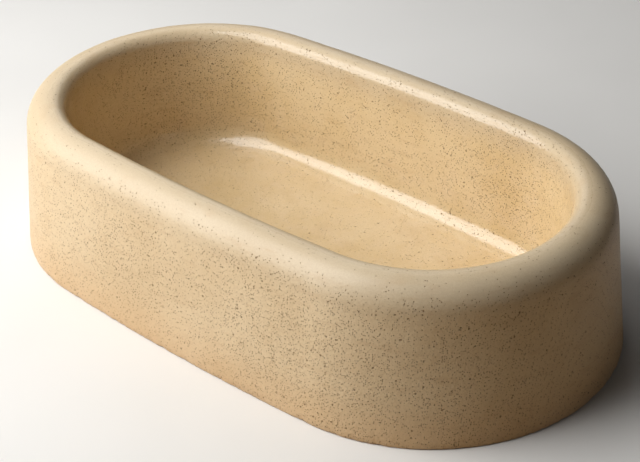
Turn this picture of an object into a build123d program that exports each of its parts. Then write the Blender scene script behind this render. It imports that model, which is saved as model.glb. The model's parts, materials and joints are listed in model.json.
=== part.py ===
from build123d import *
from math import atan2, degrees, radians, tan
import os

os.makedirs("parts", exist_ok=True)

# Concrete vessel basin with its push-to-open waste.
# The origin is the centre of the flat underside, where the basin stands on its counter.
# +X runs along the basin, +Z up, millimetres.

# Basin outside, measured round the foot
basin_length = 570.0
basin_width = 322.0
basin_height = 133.0
end_radius = 157.0
outer_draft = 5.7
foot_arris = 1.5

# Rim and bowl
rim_thickness = 35.0
rim_outer_round = 22.5
rim_inner_round = 11.0
inner_draft = 2.5
floor_thickness = 20.0
floor_fillet = 20.0

# The waste stands off the bowl's middle, towards the near long side
waste_y = -38.0
dish_radius = 48.0
dish_depth = 1.2
seat_radius = 33.5
seat_depth = 4.0
waste_hole_radius = 22.75
relief_radius = 42.0
relief_depth = 4.0
relief_draft = 20.0

# Waste body: flange, tail with the outside thread of a 1 1/4 inch pipe, cross that carries the cartridge
thread_radius = 20.955
thread_lead = 1.5
neck_radius = 19.4
neck_top = -24.0
neck_bottom = -38.0
bore_radius = 18.4
flange_radius = 33.0
flange_thickness = 2.0
flange_fall = 0.08
flange_edge = 0.6
throat_round = 4.0
gasket_thickness = 1.5
tail_end = -62.0
cross_top = -8.0
cross_depth = 6.0
arm_width = 3.2
boss_radius = 9.0
boss_overhang = 2.0
boss_edge = 0.8

# Fixing stack under the basin
washer_bore_radius = 21.3
base_washer_radius = 31.0
base_washer_thickness = 3.0
slip_washer_radius = 30.5
slip_washer_thickness = 1.5
nut_flats = 52.0
nut_flange_radius = 30.0
nut_flange_thickness = 2.5
nut_thickness = 9.0
nut_lead = 0.8
nut_corner_rise = 2.6

# Plug
cover_radius = 32.5
cover_height = 7.0
cover_round = 3.0
cover_foot_break = 0.5
carrier_radius = 29.0
carrier_thickness = 1.8
carrier_boss_radius = 6.5
carrier_boss_depth = 6.6
carrier_boss_flare = 1.2
seal_inner_radius = 23.5
seal_outer_radius = 28.0
seal_gap = 0.15
seal_lip = 1.2
plug_gap = 0.6

# Cartridge that holds the plug down and lets it up again
spindle_radius = 2.5
spindle_lead = 0.4
tapping_depth = 7.2
pin_radius = 1.9
running_gap = 0.05
moving_gap = 0.3
housing_radius = 6.5
housing_bore_radius = 5.0
housing_floor = 2.0
housing_bottom = -38.0
housing_top = 7.0
housing_edge = 0.8
collar_flats = 17.0
collar_thickness = 3.0
cap_flats = 13.0
cap_thickness = 1.6
cap_spigot = 2.0
key_count = 4
key_width = 1.4
key_height = 0.45
lock_nut_flats = 8.0
lock_nut_thickness = 2.4
tooth_count = 8
tooth_depth = 1.5
tooth_share = 0.85
crown_top = -4.5
crown_length = 6.0
rotor_length = 4.3
rotor_radius = 4.6
clip_radius = 3.3
clip_gap = 0.2
clip_thickness = 0.8
clip_groove_radius = 1.4
clip_band = 1.0
spring_radius = 4.1
spring_wire = 0.8
spring_turns = 6

# Levels worked out from those sizes
half_length = basin_length / 2
half_width = basin_width / 2
end_centre = half_length - end_radius
side_radius = (half_width**2 + end_centre**2 - end_radius**2) / (2 * (half_width - end_radius))
side_centre = side_radius - half_width
end_angle = degrees(atan2(side_centre, end_centre))
rim_inset = (
    (basin_height - rim_outer_round) * tan(radians(outer_draft))
    + rim_thickness
    - rim_inner_round * tan(radians(inner_draft))
)
bowl_depth = basin_height - floor_thickness
dish_edge = floor_thickness - dish_depth
seat_level = dish_edge - seat_depth
flange_under = seat_level + gasket_thickness
flange_top = flange_under + flange_thickness
throat_level = flange_top - flange_fall * (flange_radius - flange_edge - bore_radius)
plug_under = flange_top + plug_gap
boss_under = plug_under - carrier_boss_depth
crown_under = crown_top - crown_length
rotor_top = crown_under - tooth_depth - moving_gap
rotor_under = rotor_top - tooth_depth - rotor_length
clip_top = rotor_under - clip_gap
pin_end = clip_top - clip_thickness - pin_radius / 2
spring_bottom = housing_bottom + housing_floor


def oval(inset):
    """Draw the basin's plan, an oval of four arcs, this far inside the foot."""
    CenterArc((end_centre, 0), end_radius - inset, -end_angle, 2 * end_angle)
    CenterArc((0, -side_centre), side_radius - inset, end_angle, 180 - 2 * end_angle)
    CenterArc((-end_centre, 0), end_radius - inset, 180 - end_angle, 2 * end_angle)
    CenterArc((0, side_centre), side_radius - inset, 180 + end_angle, 180 - 2 * end_angle)


def waste_plane(level):
    """Give the level plane at this height, centred on the waste."""
    return Plane((0, waste_y, level))


waste_axis = Axis((0, waste_y, 0), (0, 0, 1))


# Basin: one casting, its drafted wall turned over into a full round rim
with BuildPart() as basin_bowl:
    with BuildSketch():
        with BuildLine():
            oval(0)
        make_face()
    extrude(amount=basin_height, taper=outer_draft)
    fillet(basin_bowl.faces().sort_by(Axis.Z)[-1].edges(), rim_outer_round)
    with BuildSketch(Plane.XY.offset(basin_height)):
        with BuildLine():
            oval(rim_inset)
        make_face()
    extrude(amount=-bowl_depth, taper=inner_draft, mode=Mode.SUBTRACT)
    bowl_floor = basin_bowl.faces().filter_by(Plane.XY).filter_by_position(
        Axis.Z, floor_thickness - 1, floor_thickness + 1
    )
    fillet(bowl_floor.edges(), floor_fillet)
    rim_land = basin_bowl.faces().sort_by(Axis.Z)[-1]
    fillet(rim_land.inner_wires()[0].edges(), rim_inner_round)
    foot = basin_bowl.faces().sort_by(Axis.Z)[0]
    chamfer(foot.edges(), foot_arris)
    # The floor falls to the waste along one long arc, level where it starts
    with BuildSketch(Plane.XZ.offset(-waste_y)):
        with BuildLine():
            fall = TangentArc((dish_radius, floor_thickness), (seat_radius, dish_edge), tangent=(-1, 0))
            Polyline(fall @ 1, (seat_radius, floor_thickness + 1), (dish_radius, floor_thickness + 1), fall @ 0)
        make_face()
    revolve(axis=waste_axis, mode=Mode.SUBTRACT)
    with BuildSketch(waste_plane(seat_level)):
        Circle(seat_radius)
    extrude(amount=floor_thickness, mode=Mode.SUBTRACT)
    with BuildSketch(waste_plane(0)):
        Circle(waste_hole_radius)
    extrude(amount=floor_thickness, mode=Mode.SUBTRACT)
    with BuildSketch(waste_plane(relief_depth)):
        Circle(relief_radius)
    extrude(amount=-relief_depth, taper=-relief_draft, mode=Mode.SUBTRACT)
basin_bowl.part.label = "basin_bowl"
export_step(basin_bowl.part, "parts/basin_bowl.step")


def ring(inner_radius, outer_radius, bottom, thickness, edge=0.0):
    """Make a flat ring round the waste's axis, its outer edges broken by this much."""
    with BuildPart() as flat_ring:
        with BuildSketch(waste_plane(bottom)):
            Circle(outer_radius)
            Circle(inner_radius, mode=Mode.SUBTRACT)
        extrude(amount=thickness)
        if edge:
            chamfer(flat_ring.edges().filter_by(GeomType.CIRCLE).sort_by(SortBy.RADIUS)[-2:], edge)
    return flat_ring.part


# Foam ring between the flange and its seat
flange_gasket = ring(washer_bore_radius + 1, flange_radius - 1, seat_level, gasket_thickness, 0.3)
flange_gasket.label = "flange_gasket"
export_step(flange_gasket, "parts/flange_gasket.step")

# Rubber washer, slip washer and back nut clamp the waste to the basin from below
base_washer_under = relief_depth - base_washer_thickness
base_washer = ring(washer_bore_radius, base_washer_radius, base_washer_under, base_washer_thickness, 0.5)
base_washer.label = "base_washer"
export_step(base_washer, "parts/base_washer.step")

slip_washer_under = base_washer_under - slip_washer_thickness
slip_washer = ring(washer_bore_radius, slip_washer_radius, slip_washer_under, slip_washer_thickness, 0.3)
slip_washer.label = "slip_washer"
export_step(slip_washer, "parts/slip_washer.step")

nut_under = slip_washer_under - nut_thickness
with BuildPart() as back_nut:
    with BuildSketch(waste_plane(nut_under)):
        RegularPolygon(nut_flats / 2, 6, major_radius=False)
    extrude(amount=nut_thickness)
    # The corners of the hexagon are turned off at the free end
    with BuildSketch(Plane.XZ.offset(-waste_y)):
        with BuildLine():
            Polyline(
                (0, nut_under),
                (nut_flats / 2 + 0.5, nut_under),
                (nut_flange_radius + 1, nut_under + nut_corner_rise),
                (nut_flange_radius + 1, slip_washer_under),
                (0, slip_washer_under),
                close=True,
            )
        make_face()
    revolve(axis=waste_axis, mode=Mode.INTERSECT)
    with BuildSketch(waste_plane(slip_washer_under - nut_flange_thickness)):
        Circle(nut_flange_radius)
    extrude(amount=nut_flange_thickness)
    with BuildSketch(waste_plane(nut_under)):
        Circle(thread_radius)
    extrude(amount=nut_thickness, mode=Mode.SUBTRACT)
    bore_edges = back_nut.edges().filter_by(GeomType.CIRCLE).group_by(SortBy.RADIUS)[0]
    chamfer(bore_edges.sort_by(Axis.Z)[0], nut_lead)
back_nut.part.label = "back_nut"
export_step(back_nut.part, "parts/back_nut.step")

# Waste body: a turned flange and tail, with a cast cross across the bore.
# A plain neck parts the back nut's thread from the trap's.
with BuildPart() as waste_body:
    with BuildSketch(Plane.XZ.offset(-waste_y)) as waste_profile:
        with BuildLine():
            Polyline(
                (bore_radius, tail_end),
                (thread_radius - thread_lead, tail_end),
                (thread_radius, tail_end + thread_lead),
                (thread_radius, neck_bottom - thread_lead),
                (neck_radius, neck_bottom),
                (neck_radius, neck_top),
                (thread_radius, neck_top + thread_lead),
                (thread_radius, flange_under),
                (flange_radius, flange_under),
                (flange_radius, flange_top - flange_edge),
                (flange_radius - flange_edge, flange_top),
                (bore_radius, throat_level),
                close=True,
            )
        make_face()
        fillet(waste_profile.vertices().sort_by_distance((bore_radius, throat_level))[0], throat_round)
    revolve(axis=waste_axis)
    cross_under = cross_top - cross_depth
    with BuildSketch(waste_plane(cross_under)):
        with PolarLocations(0, 2):
            Rectangle(2 * bore_radius + 1, arm_width)
        Circle(boss_radius)
    extrude(amount=cross_depth)
    with BuildSketch(waste_plane(cross_under - boss_overhang)):
        Circle(boss_radius)
    extrude(amount=cross_depth + 2 * boss_overhang)
    with BuildSketch(waste_plane(cross_under - boss_overhang)):
        Circle(housing_radius)
    extrude(amount=cross_depth + 2 * boss_overhang, mode=Mode.SUBTRACT)
    boss_rims = waste_body.edges().filter_by(GeomType.CIRCLE)
    chamfer([e for e in boss_rims if abs(e.radius - boss_radius) < 0.01 and e.length > 50], boss_edge)
waste_body.part.label = "waste_body"
export_step(waste_body.part, "parts/waste_body.step")

# Plug cover: a disc of the basin's own concrete, bonded to its metal carrier
with BuildPart() as plug_cover:
    with BuildSketch(waste_plane(plug_under + carrier_thickness)):
        Circle(cover_radius)
    extrude(amount=cover_height)
    fillet(plug_cover.faces().sort_by(Axis.Z)[-1].edges(), cover_round)
    chamfer(plug_cover.faces().sort_by(Axis.Z)[0].edges(), cover_foot_break)
plug_cover.part.label = "plug_cover"
export_step(plug_cover.part, "parts/plug_cover.step")

# Carrier: a thin disc with a tapped boss for the spindle
with BuildPart() as plug_carrier:
    with BuildSketch(waste_plane(plug_under)):
        Circle(carrier_radius)
    extrude(amount=carrier_thickness)
    with BuildSketch(waste_plane(plug_under)):
        Circle(carrier_boss_radius)
    extrude(amount=-carrier_boss_depth)
    disc_edges = plug_carrier.edges().filter_by(GeomType.CIRCLE).group_by(Axis.Z)[1]
    chamfer(disc_edges.sort_by(SortBy.RADIUS)[0], carrier_boss_flare)
    with BuildSketch(waste_plane(boss_under)):
        Circle(spindle_radius)
    extrude(amount=tapping_depth, mode=Mode.SUBTRACT)
plug_carrier.part.label = "plug_carrier"
export_step(plug_carrier.part, "parts/plug_carrier.step")

# Seal: a silicone ring under the carrier, its lip just over the flange's fall
seal_middle = (seal_inner_radius + seal_outer_radius) / 2
lip_outside = seal_middle + seal_lip / 2
lip_level = flange_top - flange_fall * (flange_radius - flange_edge - lip_outside) + seal_gap
with BuildPart() as plug_seal:
    with BuildSketch(Plane.XZ.offset(-waste_y)):
        with BuildLine():
            Polyline(
                (seal_inner_radius, plug_under),
                (seal_outer_radius, plug_under),
                (seal_middle + seal_lip / 2, lip_level),
                (seal_middle - seal_lip / 2, lip_level),
                close=True,
            )
        make_face()
    revolve(axis=waste_axis)
plug_seal.part.label = "plug_seal"
export_step(plug_seal.part, "parts/plug_seal.step")

# Spindle: screwed into the carrier above, a thin pin with a clip groove below
with BuildPart() as spindle:
    with BuildSketch(Plane.XZ.offset(-waste_y)) as spindle_profile:
        with BuildLine():
            Polyline(
                (0, pin_end),
                (pin_radius, pin_end),
                (pin_radius, clip_top - clip_thickness),
                (clip_groove_radius, clip_top - clip_thickness),
                (clip_groove_radius, clip_top),
                (pin_radius, clip_top),
                (pin_radius, crown_top),
                (spindle_radius, crown_top),
                (spindle_radius, plug_under),
                (0, plug_under),
                close=True,
            )
        make_face()
        outer_corners = spindle_profile.vertices().filter_by(lambda v: v.X > 1)
        chamfer([outer_corners.sort_by(Axis.Y)[0], outer_corners.sort_by(Axis.Y)[-1]], spindle_lead)
    revolve(axis=waste_axis)
spindle.part.label = "spindle"
export_step(spindle.part, "parts/spindle.step")

# Lock nut that holds the plug's height on the spindle
with BuildPart() as lock_nut:
    with BuildSketch(waste_plane(boss_under - lock_nut_thickness)):
        RegularPolygon(lock_nut_flats / 2, 6, major_radius=False)
        Circle(spindle_radius, mode=Mode.SUBTRACT)
    extrude(amount=lock_nut_thickness)
lock_nut.part.label = "lock_nut"
export_step(lock_nut.part, "parts/lock_nut.step")

# Cartridge housing: a closed sleeve screwed down into the cross, with slots inside for the crown's keys
with BuildPart() as cartridge_housing:
    with BuildSketch(waste_plane(housing_bottom)):
        Circle(housing_radius)
    extrude(amount=housing_top - housing_bottom)
    chamfer(cartridge_housing.faces().sort_by(Axis.Z)[0].edges(), housing_edge)
    with BuildSketch(waste_plane(cross_top + boss_overhang)):
        RegularPolygon(collar_flats / 2, 6, major_radius=False)
    extrude(amount=collar_thickness)
    with BuildSketch(waste_plane(housing_top)):
        Circle(housing_bore_radius)
    extrude(amount=spring_bottom - housing_top, mode=Mode.SUBTRACT)
    with BuildSketch(waste_plane(housing_top)):
        with PolarLocations(housing_bore_radius, key_count):
            Rectangle(2 * (key_height + moving_gap), key_width + 2 * moving_gap)
    extrude(amount=crown_under - tooth_depth - moving_gap - housing_top, mode=Mode.SUBTRACT)
cartridge_housing.part.label = "cartridge_housing"
export_step(cartridge_housing.part, "parts/cartridge_housing.step")

# End cap: a hexagon-headed bush that guides the spindle and stops the crown
with BuildPart() as cartridge_end_cap:
    with BuildSketch(waste_plane(housing_top)):
        RegularPolygon(cap_flats / 2, 6, major_radius=False)
    extrude(amount=cap_thickness)
    with BuildSketch(waste_plane(housing_top)):
        Circle(housing_bore_radius)
    extrude(amount=-cap_spigot)
    with BuildSketch(waste_plane(housing_top - cap_spigot)):
        Circle(spindle_radius + running_gap)
    extrude(amount=cap_spigot + cap_thickness, mode=Mode.SUBTRACT)
cartridge_end_cap.part.label = "cartridge_end_cap"
export_step(cartridge_end_cap.part, "parts/cartridge_end_cap.step")


def tooth_gap(level, depth):
    """Make the gap between two crown teeth: a V that widens with its distance from the axis."""
    with BuildPart() as gap:
        for reach in (0.5, housing_radius):
            half_gap = reach * tan(radians(180 / tooth_count)) * tooth_share
            with BuildSketch(Plane((reach, 0, level), x_dir=(0, 1, 0), z_dir=(1, 0, 0))):
                with BuildLine():
                    Polyline((-half_gap, 0), (half_gap, 0), (0, depth), close=True)
                make_face()
        loft(ruled=True)
    return gap.part


# Push crown: fixed on the pin, its keys run in the housing's slots and its teeth face down
crown_tips = crown_under - tooth_depth
crown_gap = tooth_gap(crown_tips, tooth_depth)
with BuildPart() as push_crown:
    with BuildSketch(waste_plane(crown_tips)):
        Circle(housing_bore_radius - moving_gap)
        with PolarLocations((housing_bore_radius + key_height - moving_gap) / 2, key_count):
            Rectangle(housing_bore_radius + key_height - moving_gap, key_width)
        Circle(pin_radius, mode=Mode.SUBTRACT)
    extrude(amount=crown_top - crown_tips)
    with Locations((0, waste_y)):
        with PolarLocations(0, tooth_count):
            add(crown_gap, mode=Mode.SUBTRACT)
push_crown.part.label = "push_crown"
export_step(push_crown.part, "parts/push_crown.step")

# Latch rotor: turns on the pin by one tooth for each stroke, its teeth face up
rotor_gap = tooth_gap(rotor_top, -tooth_depth)
with BuildPart() as latch_rotor:
    with BuildSketch(waste_plane(rotor_under)):
        Circle(rotor_radius)
        Circle(pin_radius + running_gap, mode=Mode.SUBTRACT)
    extrude(amount=rotor_top - rotor_under)
    with Locations((0, waste_y)):
        with PolarLocations(0, tooth_count):
            add(rotor_gap, mode=Mode.SUBTRACT)
latch_rotor.part.label = "latch_rotor"
export_step(latch_rotor.part, "parts/latch_rotor.step")

# Retaining clip: an open ring whose three lugs sit in the pin's groove
with BuildPart() as retaining_clip:
    with BuildSketch(waste_plane(clip_top - clip_thickness)):
        Circle(clip_radius)
        Circle(clip_radius - clip_band, mode=Mode.SUBTRACT)
        with PolarLocations(clip_radius / 2, 3):
            Rectangle(clip_radius - clip_band / 2, clip_band)
        Circle(clip_groove_radius, mode=Mode.SUBTRACT)
        with Locations(Location((0, 0), 60)):
            with Locations((clip_radius, 0)):
                Rectangle(clip_radius, 1.8 * clip_band, mode=Mode.SUBTRACT)
    extrude(amount=clip_thickness)
retaining_clip.part.label = "retaining_clip"
export_step(retaining_clip.part, "parts/retaining_clip.step")

# Return spring: a coil with both ends ground flat, between the housing's floor and the rotor.
# A hexagon stands for the round section of its thin wire.
spring_height = rotor_under - spring_bottom
with BuildPart() as return_spring:
    with BuildLine() as coil:
        Helix(spring_height / spring_turns, spring_height, spring_radius, center=(0, waste_y, spring_bottom))
    with BuildSketch(Plane(origin=coil.line @ 0, z_dir=coil.line % 0)):
        RegularPolygon(spring_wire / 2, 6)
    sweep(path=coil.line, is_frenet=True)
    split(bisect_by=Plane.XY.offset(spring_bottom), keep=Keep.TOP)
    split(bisect_by=Plane.XY.offset(rotor_under), keep=Keep.BOTTOM)
return_spring.part.label = "return_spring"
export_step(return_spring.part, "parts/return_spring.step")
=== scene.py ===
# %% [markdown]
# # A cast concrete vessel basin
#
# The basin is one heavy casting with a push-to-open waste in its floor. The frame brings every
# piece in its place and at its size, in metres.

import json
import math

import bmesh
import bpy
import numpy as np
from mathutils import Matrix, Vector


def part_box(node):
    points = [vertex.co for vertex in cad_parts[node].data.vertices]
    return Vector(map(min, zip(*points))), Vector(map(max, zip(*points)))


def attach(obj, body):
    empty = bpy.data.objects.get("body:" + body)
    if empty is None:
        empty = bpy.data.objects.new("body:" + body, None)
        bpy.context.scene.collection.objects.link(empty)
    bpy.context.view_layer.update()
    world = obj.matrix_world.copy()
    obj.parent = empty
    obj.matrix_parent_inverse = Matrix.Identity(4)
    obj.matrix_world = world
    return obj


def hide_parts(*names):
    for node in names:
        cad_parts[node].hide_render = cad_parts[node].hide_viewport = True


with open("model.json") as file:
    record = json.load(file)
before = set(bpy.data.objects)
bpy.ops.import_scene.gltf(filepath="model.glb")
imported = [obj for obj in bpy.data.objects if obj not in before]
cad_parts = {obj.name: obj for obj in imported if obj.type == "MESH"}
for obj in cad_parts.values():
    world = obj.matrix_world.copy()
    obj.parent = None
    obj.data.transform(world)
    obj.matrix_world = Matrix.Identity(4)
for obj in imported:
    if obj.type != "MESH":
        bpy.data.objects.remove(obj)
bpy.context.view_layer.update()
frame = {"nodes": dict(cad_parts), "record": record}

# %% [markdown]
# ## The camera
#
# A long lens looks down on the basin from its near right corner. Its angles, its distance and its
# length were fitted to the basin's outline in the photograph. Pointing a camera by three Euler
# angles is fiddly. Building its axes as vectors is plainer: one points back from the subject, one
# to the right and one up, and the small roll turns the last two together.

# %% Camera
VIEW_TURN = math.radians(42.8)
VIEW_HEIGHT = math.radians(32.52)
VIEW_ROLL = math.radians(-1.93)
VIEW_DISTANCE = 1.2866
LOOK_AT = Vector((0.0282, -0.0162, 0.057))
LENS = 87.97
SENSOR_WIDTH = 36
NEAREST_SEEN = 0.05

back = Vector((
    math.sin(VIEW_TURN) * math.cos(VIEW_HEIGHT),
    -math.cos(VIEW_TURN) * math.cos(VIEW_HEIGHT),
    math.sin(VIEW_HEIGHT),
))
level_right = Vector((0, 0, 1)).cross(back).normalized()
level_up = back.cross(level_right)
right = level_right * math.cos(VIEW_ROLL) + level_up * math.sin(VIEW_ROLL)
up = back.cross(right)

lens = bpy.data.cameras.new("camera")
lens.lens = LENS
lens.sensor_width = SENSOR_WIDTH
lens.clip_start = NEAREST_SEEN
camera = bpy.data.objects.new("camera", lens)
bpy.context.scene.collection.objects.link(camera)
camera_axes = Matrix((right, up, back)).transposed().to_4x4()
camera.matrix_world = Matrix.Translation(LOOK_AT + back * VIEW_DISTANCE) @ camera_axes
bpy.context.scene.camera = camera
print("camera at", [round(v, 3) for v in camera.matrix_world.translation])

# %% [markdown]
# ## Shader sums as Python
#
# Node trees get long when each plus and times is a node made by hand. A small class wraps one
# socket, and Python's own operators add the Math nodes. A second class holds a material's tree
# and makes every other kind of node with one method: its settings first, then its sockets.


# %% Sockets that can be added and multiplied
class Number:
    """One number socket in a material, on which arithmetic adds Math nodes."""

    def __init__(self, tree, socket):
        self.tree = tree
        self.socket = socket

    def math(self, operation, *others):
        return self.tree.node("ShaderNodeMath", {"operation": operation}, dict(enumerate(others)))

    def __add__(self, other):
        return self.math("ADD", self, other)

    def __sub__(self, other):
        return self.math("SUBTRACT", self, other)

    def __rsub__(self, other):
        return self.math("SUBTRACT", other, self)

    def __mul__(self, other):
        return self.math("MULTIPLY", self, other)

    def most(self, other):
        return self.math("MAXIMUM", self, other)


class Finish:
    """A material whose nodes are made by one method."""

    def __init__(self, name):
        self.material = bpy.data.materials.new(name)
        self.material.use_nodes = True
        self.nodes = self.material.node_tree.nodes
        self.links = self.material.node_tree.links
        self.shader = self.nodes["Principled BSDF"]
        self.place = self.node("ShaderNodeTexCoord", {}, {}, "Object")
        self.height = self.node("ShaderNodeSeparateXYZ", {}, {0: self.place}, 2)

    def node(self, kind, settings, inputs, output=0):
        """Make a node, set it up, feed its sockets and give back one output."""
        made = self.nodes.new(kind)
        for key, value in settings.items():
            setattr(made, key, value)
        for key, value in inputs.items():
            self.feed(made.inputs[key], value)
        return Number(self, made.outputs[output])

    def feed(self, socket, value):
        """Link a wrapped socket, or set a plain value."""
        if isinstance(value, Number):
            self.links.new(value.socket, socket)
        else:
            socket.default_value = value

    def set(self, **inputs):
        """Set the main shader's own sockets; an underscore stands for a space."""
        for key, value in inputs.items():
            self.feed(self.shader.inputs[key.replace("_", " ")], value)

    def blend(self, share, first, second, how="MIX"):
        """Mix two colours: the first where share is 0, the second where it is 1."""
        settings = {"data_type": "RGBA", "blend_type": how}
        return self.node("ShaderNodeMix", settings, {0: share, 6: first, 7: second}, 2)

    def stretch(self, scale):
        """The place on the piece, scaled by an amount for each axis."""
        return self.node("ShaderNodeVectorMath", {"operation": "MULTIPLY"}, {0: self.place, 1: scale})

    def noise(self, size, detail=2.0, rough=0.5, place=None):
        """Soft random blotches about this many metres across."""
        inputs = {"Vector": place or self.place, "Scale": 1 / size, "Detail": detail, "Roughness": rough}
        return self.node("ShaderNodeTexNoise", {}, inputs, "Fac")

    def step(self, value, low, high, bottom=0.0, top=1.0):
        """Rise smoothly from bottom to top as value goes from low to high."""
        settings = {"interpolation_type": "SMOOTHSTEP", "clamp": True}
        inputs = {"Value": value, "From Min": low, "From Max": high, "To Min": bottom, "To Max": top}
        return self.node("ShaderNodeMapRange", settings, inputs)

    def bump(self, height, depth, normal=None):
        """Turn a height from 0 to 1 into a bump this many metres deep."""
        inputs = {"Height": height, "Distance": depth, "Strength": 1.0}
        if normal is not None:
            inputs["Normal"] = normal
        return self.node("ShaderNodeBump", {}, inputs)


def paint(red, green, blue):
    """A colour given as it looks on a screen, from 0 to 255, as the shader needs it."""
    parts = [v / 255 for v in (red, green, blue)]
    return tuple(v / 12.92 if v <= 0.04045 else ((v + 0.055) / 1.055) ** 2.4 for v in parts) + (1.0,)


# %% [markdown]
# ## The casting's sizes
#
# The height, the waste's place and its seat come from the frame. The rest are the mould's own
# sizes, the same as in the part: its length and width at the foot, how far the wall leans in, how
# thick the rim is, and the rounds that a mould maker would give it. All rings of the casting are
# insets of one plan, an oval of four arcs, so the wall is equally thick all round.

# %% Mould sizes
MM = 0.001
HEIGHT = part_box("basin_bowl")[1].z
FOOT_ARRIS = 1.5 * MM
END_RADIUS = 157 * MM
OUTER_DRAFT = math.radians(5.7)
INNER_DRAFT = math.radians(2.5)
HALF_LENGTH = 285 * MM
HALF_WIDTH = 161 * MM
RIM_THICKNESS = 35 * MM
RIM_OUTER_ROUND = 22.5 * MM
RIM_INNER_ROUND = 11 * MM
FLOOR = 20 * MM
FLOOR_FILLET = 20 * MM

seat_low, seat_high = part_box("flange_gasket")
WASTE = Vector(((seat_low.x + seat_high.x) / 2, (seat_low.y + seat_high.y) / 2, 0))
SEAT_LEVEL = seat_low.z
SEAT_RADIUS = 33.5 * MM
DISH_RADIUS = 48 * MM
SEAT_DEPTH = 4 * MM
DISH_EDGE = SEAT_LEVEL + SEAT_DEPTH
HOLE_RADIUS = 22.75 * MM
RELIEF_RADIUS = 42 * MM
RELIEF_DEPTH = 4 * MM
RELIEF_DRAFT = math.radians(20)

end_centre = HALF_LENGTH - END_RADIUS
side_radius = (HALF_WIDTH**2 + end_centre**2 - END_RADIUS**2) / (2 * (HALF_WIDTH - END_RADIUS))
side_centre = side_radius - HALF_WIDTH
end_angle = math.atan2(side_centre, end_centre)
print("side arc radius", round(side_radius, 3), "height", round(HEIGHT, 4))

# %% [markdown]
# ## The plan as even steps
#
# A lofted ring looks best when its points are evenly spaced along the edge, so we walk round the
# four arcs by length. For each step we keep the point and the way out of the wall, its normal.
# An inset ring is then the point moved back along its normal.

# %% Walk round the oval
AROUND = 840


def walk_oval(count):
    """Points and outward normals, evenly spaced by length round the foot's plan."""
    arcs = [
        ((end_centre, 0), END_RADIUS, -end_angle, end_angle),
        ((0, -side_centre), side_radius, end_angle, math.pi - end_angle),
        ((-end_centre, 0), END_RADIUS, math.pi - end_angle, math.pi + end_angle),
        ((0, side_centre), side_radius, math.pi + end_angle, 2 * math.pi - end_angle),
    ]
    lengths = [radius * (stop - start) for _, radius, start, stop in arcs]
    walked = np.arange(count) * sum(lengths) / count
    points, normals = np.zeros((count, 2)), np.zeros((count, 2))
    behind = 0.0
    for (centre, radius, start, _), length in zip(arcs, lengths):
        here = (walked >= behind) & (walked < behind + length)
        angle = start + (walked[here] - behind) / radius
        normals[here] = np.c_[np.cos(angle), np.sin(angle)]
        points[here] = np.array(centre) + radius * normals[here]
        behind += length
    return points, normals


plan, outward = walk_oval(AROUND)
print("perimeter in metres:", round(float(np.linalg.norm(np.diff(plan, axis=0), axis=1).sum()), 3))

# %% [markdown]
# ## The wall's section
#
# Cut through the wall, the casting is a short list of straight runs and rounds. Each entry of the
# section is an inset from the plan and a height. A round between two straight runs is worked out
# from its radius, as a fillet is, and sampled finely because the sealed surface mirrors the light
# and shows every flat.

# %% Section of the wall
FILLET_STEPS = 14
INNER_ROUND_STEPS = 10
OUTER_ROUND_STEPS = 16
FOOT_STEPS = 5
INNER_WALL_STEPS = 12
OUTER_WALL_STEPS = 20
INWARD = 50 * MM


def rounded(corner, before, after, radius, steps):
    """Points of the arc that rounds a corner between two straight runs of the section."""
    corner = np.array(corner)
    back_way = np.array(before) - corner
    on_way = np.array(after) - corner
    back_way = back_way / np.linalg.norm(back_way)
    on_way = on_way / np.linalg.norm(on_way)
    half = math.acos(float(np.clip(back_way @ on_way, -1, 1))) / 2
    middle = back_way + on_way
    middle = middle / np.linalg.norm(middle)
    centre = corner + middle * radius / math.sin(half)
    start = corner + back_way * radius / math.tan(half) - centre
    stop = corner + on_way * radius / math.tan(half) - centre
    sweep = math.pi - 2 * half
    turn = 1 if start[0] * stop[1] - start[1] * stop[0] > 0 else -1
    angles = turn * np.linspace(0, sweep, steps)
    spin = [np.array([[math.cos(a), -math.sin(a)], [math.sin(a), math.cos(a)]]) for a in angles]
    return [tuple(centre + m @ start) for m in spin]


def straight(start, stop, steps):
    """Points strictly between two places of the section."""
    shares = np.linspace(0, 1, steps + 2)[1:-1]
    return [tuple(np.array(start) * (1 - s) + np.array(stop) * s) for s in shares]


outer_top = (HEIGHT * math.tan(OUTER_DRAFT), HEIGHT)
tangent_inset = (HEIGHT - RIM_OUTER_ROUND) * math.tan(OUTER_DRAFT) + RIM_THICKNESS
inner_top = (tangent_inset - RIM_INNER_ROUND * math.tan(INNER_DRAFT), HEIGHT)
wall_foot = (inner_top[0] + (HEIGHT - FLOOR) * math.tan(INNER_DRAFT), FLOOR)
floor_middle = (wall_foot[0] + INWARD, FLOOR)
foot = (0.0, 0.0)
under_middle = (INWARD, 0.0)

fillet_arc = rounded(wall_foot, floor_middle, inner_top, FLOOR_FILLET, FILLET_STEPS)
inner_arc = rounded(inner_top, wall_foot, outer_top, RIM_INNER_ROUND, INNER_ROUND_STEPS)
outer_arc = rounded(outer_top, inner_top, foot, RIM_OUTER_ROUND, OUTER_ROUND_STEPS)
foot_arc = rounded(foot, outer_top, under_middle, FOOT_ARRIS, FOOT_STEPS)
inner_wall = straight(fillet_arc[-1], inner_arc[0], INNER_WALL_STEPS)
outer_wall = straight(outer_arc[-1], foot_arc[0], OUTER_WALL_STEPS)
section = fillet_arc + inner_wall + inner_arc + outer_arc + outer_wall + foot_arc
print("section points", len(section), "wall foot inset in mm", round(wall_foot[0] / MM, 2))

# %% [markdown]
# ## The floor, the waste's seat and the underside
#
# Inside the floor's edge the rings change from the oval to circles round the waste. A straight
# line from the waste's centre to each point of the last oval ring gives both rings the same
# number of points, so one loft runs through them. The floor dips a little along one long arc to
# meet the flange's seat, and the underside has a shallow round recess for the washers.

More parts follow.
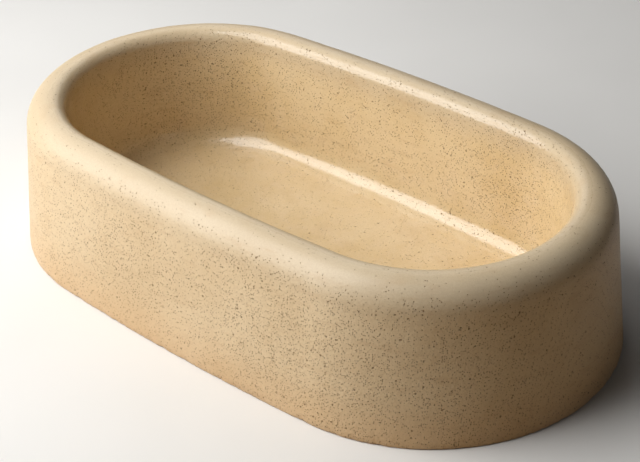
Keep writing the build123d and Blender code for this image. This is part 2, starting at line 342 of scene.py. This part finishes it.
# %% Rings of the casting
SEAT_WALL_SHARES = (0.3, 0.92)
DISH_STEPS = 7
FLOOR_STEPS = 11
UNDERSIDE_STEPS = 6
RELIEF_SHARES = (0.45, 0.85, 1)


def oval_ring(inset, height):
    """A ring of the casting at this inset from the plan."""
    return np.c_[plan - outward * inset, np.full(AROUND, height)]


def rays(inset):
    """The way from the waste's centre to each point of an oval ring, and how far it is."""
    away = plan - outward * inset - np.array(WASTE.xy)
    reach = np.linalg.norm(away, axis=1)
    return away / reach[:, None], reach


def circle_ring(ways, radius, height):
    """A ring round the waste, with a point under each ray."""
    return np.c_[np.array(WASTE.xy) + ways * radius, np.full(len(ways), height)]


def between(ways, reach, radius, share, height):
    """A ring part of the way from a circle round the waste to an oval ring."""
    away = radius + (reach - radius) * share
    return np.c_[np.array(WASTE.xy) + ways * away[:, None], np.full(AROUND, height)]


floor_ways, floor_reach = rays(fillet_arc[0][0])
under_ways, under_reach = rays(foot_arc[-1][0])
relief_flare = RELIEF_DEPTH * math.tan(RELIEF_DRAFT)
dish_drop = FLOOR - DISH_EDGE
dish_run = DISH_RADIUS - SEAT_RADIUS
dish_bend = (dish_run**2 + dish_drop**2) / (2 * dish_drop)

rings = [circle_ring(floor_ways, HOLE_RADIUS, SEAT_LEVEL)]
rings.append(circle_ring(floor_ways, SEAT_RADIUS, SEAT_LEVEL))
for share in SEAT_WALL_SHARES:
    rings.append(circle_ring(floor_ways, SEAT_RADIUS, SEAT_LEVEL + share * (DISH_EDGE - SEAT_LEVEL)))
for share in np.linspace(0, 1, DISH_STEPS):
    run = dish_run * (1 - share)
    height = FLOOR - dish_bend + math.sqrt(dish_bend**2 - run**2)
    rings.append(circle_ring(floor_ways, SEAT_RADIUS + dish_run * share, height))
for share in np.linspace(0, 1, FLOOR_STEPS)[1:-1]:
    rings.append(between(floor_ways, floor_reach, DISH_RADIUS, share, FLOOR))
first_wall_ring = len(rings)
rings += [oval_ring(inset, height) for inset, height in section]
last_wall_ring = len(rings) - 1
for share in np.linspace(1, 0, UNDERSIDE_STEPS)[1:]:
    rings.append(between(under_ways, under_reach, RELIEF_RADIUS + relief_flare, share, 0.0))
for share in RELIEF_SHARES:
    rings.append(circle_ring(under_ways, RELIEF_RADIUS + relief_flare * (1 - share), RELIEF_DEPTH * share))
rings.append(circle_ring(under_ways, HOLE_RADIUS, RELIEF_DEPTH))
print("rings", len(rings), "points", len(rings) * AROUND, "dish in mm", round(dish_drop / MM, 2))

# %% [markdown]
# ## From rings to one casting
#
# The rings run from the waste's hole over the floor, up the bowl, round the rim, down the outside
# and back along the underside to the hole, so joining the last to the first closes the mesh like a
# tyre. A cast and hand-finished wall is never quite true. Long, shallow waves, together about a
# tenth of a millimetre deep, move the points along their normals and make the reflections wander
# as they do on a real one. The foot also gets the small chips that an unsupported arris has. Widths
# of the chips are counted in steps round the foot, and their fade up the wall in rings.

# %% Waves, chips and the closed mesh
WAVES = 40
WAVE_DEPTH = 0.09 * MM
WAVE_LONGEST = 120 * MM
WAVE_SHORTEST = 26 * MM
CHIPS = 150
CHIP_DEEPEST = 0.9 * MM
CHIP_SHALLOWEST = 0.25
CHIP_NARROWEST = 0.5
CHIP_WIDENING = 2.2
CHIP_FADE = 2.2
RINGS_BEFORE_WALL = 8
FADE_RINGS = 7
SHARP_EDGE = math.radians(38)
TINY = 1e-12
chance = np.random.default_rng(7)


def ring_normals(grid):
    """Outward normals of a grid of points whose rows are closed rings."""
    round_way = np.roll(grid, -1, 1) - np.roll(grid, 1, 1)
    ring_way = np.roll(grid, -1, 0) - np.roll(grid, 1, 0)
    normals = np.cross(round_way, ring_way)
    return normals / np.maximum(np.linalg.norm(normals, axis=2, keepdims=True), TINY)


def waves(points, count, longest, shortest):
    """A smooth random height from about -1 to 1 at each point."""
    height = np.zeros(points.shape[:-1])
    for _ in range(count):
        way = chance.normal(size=3)
        length = longest * (shortest / longest) ** chance.random()
        way *= 2 * math.pi / (length * np.linalg.norm(way))
        height += np.sin(points @ way + chance.random() * 2 * math.pi)
    return height / math.sqrt(count)


grid = np.array(rings)
normals = ring_normals(grid)
rim_ring = first_wall_ring + len(fillet_arc + inner_wall + inner_arc)
if normals[rim_ring, 0, 2] < 0:
    normals = -normals

free = np.zeros(len(grid))
free[first_wall_ring - RINGS_BEFORE_WALL:last_wall_ring - len(foot_arc)] = 1
free = np.convolve(free, np.ones(FADE_RINGS) / FADE_RINGS, "same")
wave_height = waves(grid, WAVES, WAVE_LONGEST, WAVE_SHORTEST) * free[:, None] * WAVE_DEPTH
grid = grid + normals * wave_height[..., None]

place_round = np.arange(AROUND) * 2 * math.pi / AROUND
chip_depth = np.zeros((len(grid), AROUND))
foot_line = last_wall_ring - 2
for _ in range(CHIPS):
    at = chance.random() * 2 * math.pi
    half = (CHIP_NARROWEST + CHIP_WIDENING * chance.random() ** 2) * 2 * math.pi / AROUND
    deep = CHIP_DEEPEST * (CHIP_SHALLOWEST + (1 - CHIP_SHALLOWEST) * chance.random() ** 2)
    off = np.angle(np.exp(1j * (place_round - at)))
    for ring in range(last_wall_ring - len(foot_arc) - 1, last_wall_ring + 1):
        fade = math.exp(-((ring - foot_line) / CHIP_FADE) ** 2)
        chip_depth[ring] = np.maximum(chip_depth[ring], deep * fade * np.exp(-((off / half) ** 2)))
grid = grid - normals * chip_depth[..., None]
grid[..., 2] = np.maximum(grid[..., 2], 0.0)
print("rings by points:", grid.shape[:2], "deepest chip in mm:", round(float(chip_depth.max()) / MM, 2))


def ring_faces(grid, close=True):
    """Faces that join each ring of a grid to the next, and where close is set the last to the first."""
    count, around = grid.shape[:2]
    here = np.arange(count * around).reshape(count, around)
    there = np.roll(here, -1, 0)
    if not close:
        here, there = here[:-1], there[:-1]
    faces = np.stack((here, there, np.roll(there, -1, 1), np.roll(here, -1, 1)), axis=2)
    return faces.reshape(-1, 4).tolist()


def mesh_piece(name, points, faces):
    """Make an object of these points and this list of faces, smooth but for its sharp edges."""
    mesh = bpy.data.meshes.new(name)
    mesh.from_pydata(points.reshape(-1, 3).tolist(), [], faces)
    mesh.validate()
    mesh.shade_smooth()
    mesh.set_sharp_from_angle(angle=SHARP_EDGE)
    piece = bpy.data.objects.new(name, mesh)
    bpy.context.scene.collection.objects.link(piece)
    return piece


def outward_facing(piece):
    """Turn a closed mesh so that its faces look out, and give back its volume in litres."""
    shape = bmesh.new()
    shape.from_mesh(piece.data)
    bmesh.ops.recalc_face_normals(shape, faces=shape.faces)
    shape.to_mesh(piece.data)
    if shape.calc_volume(signed=True) < 0:
        bmesh.ops.reverse_faces(shape, faces=shape.faces)
        shape.to_mesh(piece.data)
    litres = abs(shape.calc_volume(signed=True)) * 1000
    shape.free()
    return litres


def keep_values(piece, name, values):
    """Store one number for each point, which a material can read."""
    held = piece.data.attributes.new(name, "FLOAT", "POINT")
    held.data.foreach_set("value", np.asarray(values, np.float32).ravel())


casting = mesh_piece("basin_casting", grid, ring_faces(grid))
print("casting in litres:", round(outward_facing(casting), 3))

# %% [markdown]
# ## Where the surface is sealed, and where air was trapped
#
# The bowl is glossier than the outside, as if it had more coats of sealer. Air rises and sticks to
# the steep faces of a mould, so pinholes gather on the walls, in clusters, while the rounded rim
# came out almost clean. Both facts belong to a place on the casting, so they are stored on its
# points for the material to read. Each cluster has a centre in metres, a reach and a strength,
# and all three were judged.

# %% Values on the casting
first_of = {}
ring = first_wall_ring
for name, run in (("fillet", fillet_arc), ("inner wall", inner_wall), ("inner round", inner_arc),
                  ("outer round", outer_arc), ("outer wall", outer_wall), ("foot", foot_arc)):
    first_of[name] = ring
    ring += len(run)

RIM_SHOULDER = first_of["outer round"] + 6
SEALED_AND_AIRY = {
    0: (1, 0.35),
    first_of["fillet"]: (1, 0.45),
    first_of["inner wall"]: (1, 0.95),
    first_of["inner round"]: (0.8, 0.8),
    first_of["outer round"]: (0.6, 0.10),
    RIM_SHOULDER: (0.3, 0.06),
    first_of["outer wall"]: (0, 0.80),
    first_of["foot"]: (0, 1),
    len(grid) - 1: (0, 0.4),
}
ring_number = np.arange(len(grid))
sealed, airy = (np.interp(ring_number, list(SEALED_AND_AIRY), values)
                for values in zip(*SEALED_AND_AIRY.values()))
keep_values(casting, "sealed", np.repeat(sealed, AROUND))

CLUSTERS = {
    "bowl, left end": ((-0.200, 0.060, 0.085), 0.130, 1.0),
    "bowl, far wall": ((0.130, 0.112, 0.085), 0.110, 0.9),
    "outside, near wall": ((-0.060, -0.155, 0.080), 0.100, 0.8),
    "outside, near right": ((0.130, -0.158, 0.070), 0.140, 1.0),
    "outside, right end": ((0.245, -0.080, 0.050), 0.100, 0.9),
}
CROWD_ELSEWHERE = 0.50
flat = grid.reshape(-1, 3)
crowd = np.full(len(flat), CROWD_ELSEWHERE)
for place, reach, strength in CLUSTERS.values():
    crowd = np.maximum(crowd, strength * np.exp(-((np.linalg.norm(flat - place, axis=1) / reach) ** 2)))
airy_points = np.repeat(airy, AROUND) * crowd
keep_values(casting, "airy", airy_points)
print("share of the points with many pinholes:", round(float((airy_points > 0.4).mean()), 3))

# %% [markdown]
# ## Pigmented concrete
#
# The colour of cast concrete is never even: pigment clouds a hand wide and sand that shows as fine
# grain. The outside also has a warmer band near the foot. Near the top the colour turns greyer and
# darker, which is painted sheen and painted shade where the light on the rim is strongest. Pinholes
# come from a Voronoi texture in solid space. Each of its cells holds a ball of its own size, and the
# surface cuts through the balls at all depths, as a mould face cuts through bubbles, so the holes' sizes
# vary without a table. Each hole is pressed in and painted dark, which is painted shade inside it, and
# the skin round the clusters is uneven.
# Holes are given by the size of a cell and the radius of the largest ball in it.

# %% Concrete
CLOUD_SIZE = 85 * MM
MOTTLE_SIZE = 18 * MM
STREAK_SIZE = 30 * MM
STREAK_FLATNESS = 5
GRAIN_SIZE = 1.1 * MM
GRAIN_DEPTH = 0.04 * MM
PEEL_SIZE = 3.4 * MM
PEEL_DEPTH = 0.55 * MM
HOLE_DEPTH = 0.70 * MM
FINE_HOLES = (1.25 * MM, 0.52 * MM)
COARSE_HOLES = (4.0 * MM, 0.92 * MM)
SPARSE_HOLES = (3.4 * MM, 0.55 * MM)
# Heights over which the rim's painted sheen and painted shade come in.
RIM_SHEEN_FROM, RIM_SHEEN_TO = 100 * MM, 130 * MM
WARM_FROM, WARM_TO = 50 * MM, 0.0
OUTSIDE_PAINTS = (paint(228, 204, 164), paint(239, 218, 181))
INSIDE_PAINTS = (paint(224, 195, 145), paint(232, 207, 163))
MOTTLE_PAINT = paint(231, 206, 168)
# Painted sheen and painted shade of the rim: a greyer, darker tone.
RIM_SHEEN_SHADE_PAINT = paint(208, 191, 165)
STREAK_PAINT = paint(201, 165, 118)
WARM_PAINT = paint(230, 192, 144)
GRAIN_PAINT = paint(150, 112, 66)
# Painted shade inside the pinholes.
HOLE_SHADE_PAINT = paint(122, 86, 42)


def pinholes(finish, cell, radius, crowd):
    """Where the surface cuts bubbles of about this radius: 1 inside a hole. crowd thins them out."""
    bubbles = finish.nodes.new("ShaderNodeTexVoronoi")
    bubbles.inputs["Scale"].default_value = 1 / cell
    finish.links.new(finish.place.socket, bubbles.inputs["Vector"])
    middle = Number(finish, bubbles.outputs["Distance"])
    luck = finish.node("ShaderNodeSeparateColor", {}, {0: Number(finish, bubbles.outputs["Color"])}, 0)
    size = finish.step(luck, 1 - crowd, 1.0, 0.35, 1.0) * (radius / cell)
    there = luck.math("GREATER_THAN", luck, 1 - crowd)
    return finish.step(middle, size * 0.55, size, 1.0, 0.0) * there


def concrete():
    """Cast concrete, which reads the sealed and airy values of the mesh that it is on."""
    finish = Finish("concrete")
    sealed = finish.node("ShaderNodeAttribute", {"attribute_name": "sealed"}, {}, "Fac")
    airy = finish.node("ShaderNodeAttribute", {"attribute_name": "airy"}, {}, "Fac")
    clouds = finish.noise(CLOUD_SIZE, 3.0, 0.55)
    mottle = finish.noise(MOTTLE_SIZE, 4.0, 0.6)
    streak_place = finish.stretch((1, 1, STREAK_FLATNESS))
    streaks = finish.noise(STREAK_SIZE, 3.0, 0.6, streak_place)
    grain = finish.noise(GRAIN_SIZE, 2.0, 0.6)

    outside = finish.blend(finish.step(clouds, 0.3, 0.7), *OUTSIDE_PAINTS)
    inside = finish.blend(finish.step(clouds, 0.3, 0.7), *INSIDE_PAINTS)
    colour = finish.blend(sealed, outside, inside)
    colour = finish.blend(finish.step(mottle, 0.42, 0.72, 0, 0.35), colour, MOTTLE_PAINT)
    # Painted sheen and painted shade: near the top the colour turns greyer and darker, where the light on the
    # rim is strongest.
    painted_rim_sheen = finish.step(finish.height, RIM_SHEEN_FROM, RIM_SHEEN_TO, 0, 0.55)
    colour = finish.blend(painted_rim_sheen, colour, RIM_SHEEN_SHADE_PAINT)
    colour = finish.blend(finish.step(streaks, 0.5, 0.75, 0, 0.22), colour, STREAK_PAINT)
    low_down = finish.step(finish.height, WARM_FROM, WARM_TO, 0, 0.42) * (1 - sealed)
    colour = finish.blend(low_down, colour, WARM_PAINT)
    colour = finish.blend(finish.step(grain, 0.35, 0.65, 0.10, 0.0), colour, GRAIN_PAINT)

    fine = pinholes(finish, *FINE_HOLES, airy)
    coarse = pinholes(finish, *COARSE_HOLES, airy * 0.6)
    sparse = pinholes(finish, *SPARSE_HOLES, 0.25)
    holes = fine.most(coarse).most(sparse)
    # Painted shade: the pinholes are darkened as if shade fell inside them.
    colour = finish.blend(holes * 0.75, colour, HOLE_SHADE_PAINT)

    rough = finish.step(sealed, 0.2, 0.9, 0.44, 0.14) + (mottle - 0.5) * 0.10 + holes * 0.4
    finish.set(Base_Color=colour, Roughness=rough.most(0.08), IOR=1.45)
    finish.set(Coat_Weight=finish.step(sealed, 0.6, 1, 0, 0.5) * (1 - holes), Coat_Roughness=0.12)
    skin = finish.bump(grain, GRAIN_DEPTH)
    peel = finish.bump(finish.noise(PEEL_SIZE, 3.0, 0.6) * (airy + 0.12), PEEL_DEPTH, skin)
    dents = finish.bump(1 - holes, HOLE_DEPTH, peel)
    finish.set(Normal=dents)
    return finish.material


concrete_finish = concrete()
casting.data.materials.append(concrete_finish)
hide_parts("basin_bowl")
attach(casting, "basin")
print("concrete nodes:", len(concrete_finish.node_tree.nodes))

# %% [markdown]
# ## The plug's cover
#
# The waste's parts are round, so a second helper turns a profile about the waste's axis, as a lathe
# does. The plug has a cover of the basin's own concrete, with the same sealed face and a few of the
# same pinholes, so it matches the floor round it.

# %% Turned cover
COVER_ROUND = 3 * MM
COVER_ROUND_STEPS = 9
COVER_FOOT = 0.5 * MM
COVER_RINGS = (0.7, 0.45, 0.2, 0.04)
COVER_AIRY = 0.16


def turned(name, profile, around=144, tyre=False):
    """Turn radii and heights about the waste's axis. A tyre closes on itself, anything else is capped."""
    angles = np.arange(around) * 2 * math.pi / around
    ways = np.c_[np.cos(angles), np.sin(angles)]
    grid = np.array([circle_ring(ways, radius, height) for radius, height in profile])
    faces = ring_faces(grid, close=tyre)
    if not tyre:
        faces.append(list(range(around)))
        faces.append(list(range(len(profile) * around - around, len(profile) * around)))
    return mesh_piece(name, grid, faces)


cover_low, cover_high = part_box("plug_cover")
cover_radius = (cover_high.x - cover_low.x) / 2
cover_corner = (cover_radius, cover_high.z)
profile = [(cover_radius - COVER_FOOT, cover_low.z), (cover_radius, cover_low.z + COVER_FOOT)]
profile += rounded(cover_corner, (cover_radius, 0), (0, cover_high.z), COVER_ROUND,
                   COVER_ROUND_STEPS)
profile += [(cover_radius * share, cover_high.z) for share in COVER_RINGS]
cover = turned("plug_top", profile)
print("cover in cubic cm:", round(outward_facing(cover) * 1000, 1))
keep_values(cover, "sealed", np.ones(len(cover.data.vertices)))
keep_values(cover, "airy", np.full(len(cover.data.vertices), COVER_AIRY))
cover.data.materials.append(concrete_finish)
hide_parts("plug_cover")
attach(cover, "plug")

# %% [markdown]
# ## The waste body and its thread
#
# The tail has the outside thread of a 1 1/4 inch pipe: 11 turns to the inch, cut 1.48 mm deep. A
# thread is only a turned surface whose radius also depends on the angle, so every point asks how
# far it is from the nearest crest, up the axis and round it. The turned envelope, with its leads and
# its plain neck, then trims the thread, as the blank does on a real one.

# %% Waste body
TAIL_END = -62 * MM
THREAD_RADIUS = 20.955 * MM
THREAD_DEPTH = 1.479 * MM
THREAD_SWING = 0.62
THREAD_ROWS = (158, 96)
PITCH = 25.4 * MM / 11
LEAD = 1.5 * MM
NECK_RADIUS = 19.4 * MM
NECK = (-38 * MM, -24 * MM)
BORE_RADIUS = 18.4 * MM
BORE_LEVELS = (TAIL_END, -20 * MM, 0.0)
FLANGE_RADIUS = 33 * MM
FLANGE_EDGE = 0.6 * MM
FLANGE_FALL = 0.08
FLANGE_THICKNESS = 2 * MM
THROAT_ROUND = 4 * MM
THROAT_STEPS = 9
flange_under = seat_high.z
flange_top = flange_under + FLANGE_THICKNESS
throat = (BORE_RADIUS, flange_top - FLANGE_FALL * (FLANGE_RADIUS - FLANGE_EDGE - BORE_RADIUS))
flange_face = (FLANGE_RADIUS - FLANGE_EDGE, flange_top)


def threaded(ways, angles, height, envelope):
    """A ring of the thread at this height, no wider than the turned envelope."""
    turns = height / PITCH - angles / (2 * math.pi)
    groove = np.clip(0.5 - THREAD_SWING * np.cos(2 * math.pi * turns), 0, 1)
    radius = np.minimum(THREAD_RADIUS - THREAD_DEPTH * groove, envelope)
    return np.c_[np.array(WASTE.xy) + ways * radius[:, None], np.full(len(angles), height)]


def waste_tail(around=108):
    """The flanged tail as one closed mesh: flange, thread, neck, thread, end, bore and throat."""
    angles = np.arange(around) * 2 * math.pi / around
    ways = np.c_[np.cos(angles), np.sin(angles)]
    heights = np.concatenate((
        np.linspace(flange_under, NECK[1], THREAD_ROWS[0]),
        np.linspace(NECK[0], TAIL_END, THREAD_ROWS[1]),
    ))
    levels = [TAIL_END, TAIL_END + LEAD, NECK[0] - LEAD, NECK[0], NECK[1], NECK[1] + LEAD, flange_under]
    widths = [THREAD_RADIUS - LEAD, THREAD_RADIUS, THREAD_RADIUS, NECK_RADIUS, NECK_RADIUS, THREAD_RADIUS,
              THREAD_RADIUS]
    rows = [circle_ring(ways, FLANGE_RADIUS, flange_top - FLANGE_EDGE)]
    rows.append(circle_ring(ways, FLANGE_RADIUS, flange_under))
    rows += [threaded(ways, angles, height, np.interp(height, levels, widths)) for height in heights]
    rows += [circle_ring(ways, BORE_RADIUS, height) for height in BORE_LEVELS]
    throat_arc = rounded(throat, (BORE_RADIUS, 0), flange_face, THROAT_ROUND, THROAT_STEPS)
    rows += [circle_ring(ways, radius, height) for radius, height in throat_arc + [flange_face]]
    rows = np.array(rows)
    return rows.reshape(-1, 3), ring_faces(rows)


tail_points, tail_faces = waste_tail()
print("tail points:", len(tail_points))

# %% [markdown]
# The cross that holds the cartridge has four arms and a boss with a round hole. Each arm is cast
# with rounded edges, and its ends run into the boss and the wall, so nothing floats.

# %% Cross of the waste body
CROSS_TOP = -8 * MM
CROSS_DEPTH = 6 * MM
ARM_WIDTH = 3.2 * MM
ARM_ROUND = 0.7 * MM
BOSS_RADIUS = 9 * MM
BOSS_BORE = 6.5 * MM
BOSS_OVERHANG = 2 * MM
BOSS_EDGE = 0.8 * MM
BOSS_AROUND = 96
ARM_BEVEL_STEPS = 3
INTO_BOSS = 0.6 * MM
INTO_WALL = 0.4 * MM

boss_low, boss_high = CROSS_TOP - CROSS_DEPTH - BOSS_OVERHANG, CROSS_TOP + BOSS_OVERHANG
boss_profile = [
    (BOSS_BORE, boss_low), (BOSS_RADIUS - BOSS_EDGE, boss_low), (BOSS_RADIUS, boss_low + BOSS_EDGE),
    (BOSS_RADIUS, boss_high - BOSS_EDGE), (BOSS_RADIUS - BOSS_EDGE, boss_high), (BOSS_BORE, boss_high),
]
shape = bmesh.new()
tail_mesh = mesh_piece("tail", tail_points, tail_faces)
boss_mesh = turned("boss", boss_profile, BOSS_AROUND, tyre=True)
for part in (tail_mesh, boss_mesh):
    outward_facing(part)
    shape.from_mesh(part.data)
    bpy.data.objects.remove(part)
arm_reach = (BOSS_RADIUS - INTO_BOSS, BORE_RADIUS + INTO_WALL)
for quarter in range(4):
    sizes = Vector((arm_reach[1] - arm_reach[0], ARM_WIDTH, CROSS_DEPTH))
    middle = Vector(((arm_reach[0] + arm_reach[1]) / 2, 0, CROSS_TOP - CROSS_DEPTH / 2))
    place = (Matrix.Translation(WASTE) @ Matrix.Rotation(quarter * math.pi / 2, 4, "Z")
             @ Matrix.Translation(middle) @ Matrix.Diagonal(sizes).to_4x4())
    arm = bmesh.ops.create_cube(shape, size=1, matrix=place)["verts"]
    along = [e for e in {e for v in arm for e in v.link_edges}
             if (e.verts[0].co - e.verts[1].co).length > sizes.x - 1e-6]
    bmesh.ops.bevel(shape, geom=along, offset=ARM_ROUND, segments=ARM_BEVEL_STEPS, affect="EDGES",
                    profile=0.5)
waste_mesh = bpy.data.meshes.new("waste_tail")
shape.to_mesh(waste_mesh)
shape.free()
waste_mesh.shade_smooth()
waste_mesh.set_sharp_from_angle(angle=SHARP_EDGE)
waste = bpy.data.objects.new("waste_tail", waste_mesh)
bpy.context.scene.collection.objects.link(waste)
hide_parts("waste_body")
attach(waste, "basin")
print("waste body polygons:", len(waste_mesh.polygons))

# %% [markdown]
# ## Metal, rubber and plastic
#
# The hidden pieces get the finish their trade gives them. Plating shows water marks as soft changes
# of roughness, and turned brass has fine rings along its axis, which is noise squeezed flat. Rubber
# is dull with a grey bloom, foam has open cells, and moulded plastic has a fine spark-eroded grain.
# A metal is given by two paints, its shine, how much its marks change that, and the rings' depth.
# A moulded finish is given by two paints, its roughness, and its grain's size and depth.

# %% Finishes of the fittings
METALS = {
    "plated_brass": (paint(222, 222, 224), paint(196, 197, 200), 0.05, 0.10, 0.004 * MM),
    "raw_brass": (paint(203, 168, 98), paint(160, 122, 62), 0.24, 0.16, 0.030 * MM),
    "spring_steel": (paint(178, 178, 180), paint(140, 139, 138), 0.20, 0.14, 0.010 * MM),
}
MOULDED = {
    "black_rubber": (paint(24, 24, 25), paint(44, 44, 44), 0.72, 0.9 * MM, 0.03 * MM),
    "grey_foam": (paint(84, 85, 87), paint(62, 63, 66), 0.92, 1.1 * MM, 0.16 * MM),
    "white_plastic": (paint(226, 226, 222), paint(214, 213, 206), 0.42, 0.5 * MM, 0.01 * MM),
    "grey_plastic": (paint(84, 86, 89), paint(74, 75, 79), 0.45, 0.5 * MM, 0.01 * MM),
    "clear_silicone": (paint(214, 212, 206), paint(200, 198, 190), 0.30, 0.8 * MM, 0.01 * MM),
}
STAIN_SIZE = 12 * MM
SPECK_SIZE = 2 * MM
TURNING_SIZE = 0.3 * MM
TURNING_SQUEEZE = (0.02, 0.02, 1)
PATCH_SIZE = 9 * MM
PATCH_SHARE = 0.6


def metal(name, bright, dull, shine, marks, ring_depth):
    """A bare or plated metal with water marks and fine turning rings."""
    finish = Finish(name)
    stains = finish.noise(STAIN_SIZE, 4.0, 0.6)
    turning = finish.noise(TURNING_SIZE, 2.0, 0.5, finish.stretch(TURNING_SQUEEZE))
    specks = finish.noise(SPECK_SIZE, 3.0, 0.7)
    colour = finish.blend(finish.step(stains, 0.35, 0.75), bright, dull)
    colour = finish.blend(finish.step(specks, 0.62, 0.78, 0, 0.4), colour, dull)
    rough = finish.step(stains, 0.3, 0.8, shine, shine + marks) + (turning - 0.5) * marks
    finish.set(Base_Color=colour, Metallic=1.0, Roughness=rough.most(0.03))
    finish.set(Normal=finish.bump(turning, ring_depth))
    return finish


def moulded(name, main, other, rough, grain_size, grain_depth):
    """Rubber, foam or plastic: a main colour with soft patches and a moulded grain."""
    finish = Finish(name)
    patches = finish.noise(PATCH_SIZE, 3.0, 0.55)
    grain = finish.noise(grain_size, 3.0, 0.65)
    colour = finish.blend(finish.step(patches, 0.35, 0.7, 0, PATCH_SHARE), main, other)
    finish.set(Base_Color=colour, Roughness=(patches - 0.5) * 0.16 + rough + (grain - 0.5) * 0.08)
    finish.set(Normal=finish.bump(grain, grain_depth))
    return finish


finishes = {name: metal(name, *recipe) for name, recipe in METALS.items()}
finishes |= {name: moulded(name, *recipe) for name, recipe in MOULDED.items()}
finishes["clear_silicone"].set(Transmission_Weight=0.45, IOR=1.41)

waste.data.materials.append(finishes["plated_brass"].material)
wanted = {piece["node"]: piece["material_slot"] for piece in frame["record"]["subparts"]}
for name, node in frame["nodes"].items():
    if wanted[name] != "concrete" and name != "waste_body":
        node.data.materials.clear()
        node.data.materials.append(finishes[wanted[name]].material)
        print(name, "gets", wanted[name])

# %% [markdown]
# ## Counter and light
#
# The basin stands on a plain pale counter, which has the round hole that the waste's nut needs.
# Three softboxes light it. The key comes from the near left and lights the long wall. The strip
# hangs on the left and is larger and dimmer. A faint fill from the right and a weak sky lift the
# shadows. Their places and strengths were set against the photograph. The counter looks
# pale, but the light that it throws back is brown, which warms the shaded side.

# %% Counter
COUNTER_AROUND = 96
COUNTER_RADII = (38 * MM, 0.4, 5.0)
DUST_SIZE = 0.20
DUST_PAINT = paint(226, 224, 220)


def counter():
    """A round sheet with a hole round the waste's axis."""
    round_way = np.linspace(0, 2 * math.pi, COUNTER_AROUND, endpoint=False)
    ways = np.c_[np.cos(round_way), np.sin(round_way)]
    rows = np.array([circle_ring(ways, radius, 0.0) for radius in COUNTER_RADII])
    return mesh_piece("counter", rows, ring_faces(rows, close=False))


def plain(name, seen, lit, rough):
    """A pale surface: one colour for what looks at it or mirrors it, another for bounced light."""
    finish = Finish(name)
    path = finish.nodes.new("ShaderNodeLightPath")
    direct = Number(finish, path.outputs["Is Camera Ray"]).most(Number(finish, path.outputs["Is Glossy Ray"]))
    direct = direct.most(Number(finish, path.outputs["Is Transmission Ray"]))
    dust = finish.noise(DUST_SIZE, 2.0, 0.5)
    shown = finish.blend(finish.step(dust, 0.3, 0.7, 0, 0.3), seen, DUST_PAINT)
    finish.set(Base_Color=finish.blend(direct, lit, shown), Roughness=rough)
    return finish.material


floor = counter()
floor.data.materials.append(plain("counter paint", paint(236, 234, 230), paint(166, 132, 82), 0.6))

# %% Lights
LIT_PLACE = Vector((0.0, 0.0, 0.06))
SKY = 0.06
SKY_SEEN = 0.85


def softbox(name, azimuth, elevation, away, wide, high, brightness):
    """A softbox that looks at the basin from this side, as bright as a white card times brightness."""
    light = bpy.data.lights.new(name, "AREA")
    light.shape = "RECTANGLE"
    light.size = wide
    light.size_y = high
    light.energy = brightness * math.pi * wide * high
    box = bpy.data.objects.new(name, light)
    bpy.context.scene.collection.objects.link(box)
    turn, lift = math.radians(azimuth), math.radians(elevation)
    way = Vector((math.cos(turn) * math.cos(lift), math.sin(turn) * math.cos(lift), math.sin(lift)))
    level = Vector((0, 0, 1)).cross(way).normalized()
    axes = Matrix((level, way.cross(level), way)).transposed().to_4x4()
    box.matrix_world = Matrix.Translation(LIT_PLACE + way * away) @ axes


softbox("key", 230, 42, away=1.60, wide=1.20, high=2.00, brightness=5.1)
softbox("strip", 168, 42, away=1.45, wide=2.40, high=1.25, brightness=0.85)
softbox("fill", 345, 22, away=1.80, wide=1.00, high=1.00, brightness=0.30)

# %% Sky
world = bpy.data.worlds.new("sky")
world.use_nodes = True
bpy.context.scene.world = world
sky = world.node_tree
path = sky.nodes.new("ShaderNodeLightPath")
looked_at = path.outputs["Is Camera Ray"]
for kind in ("Is Glossy Ray", "Is Transmission Ray"):
    either = sky.nodes.new("ShaderNodeMath")
    either.operation = "MAXIMUM"
    sky.links.new(looked_at, either.inputs[0])
    sky.links.new(path.outputs[kind], either.inputs[1])
    looked_at = either.outputs[0]
strength = sky.nodes.new("ShaderNodeMapRange")
strength.inputs["To Min"].default_value = SKY
strength.inputs["To Max"].default_value = SKY_SEEN
sky.links.new(looked_at, strength.inputs["Value"])
sky.links.new(strength.outputs[0], sky.nodes["Background"].inputs["Strength"])

bpy.context.scene.view_settings.view_transform = "Standard"
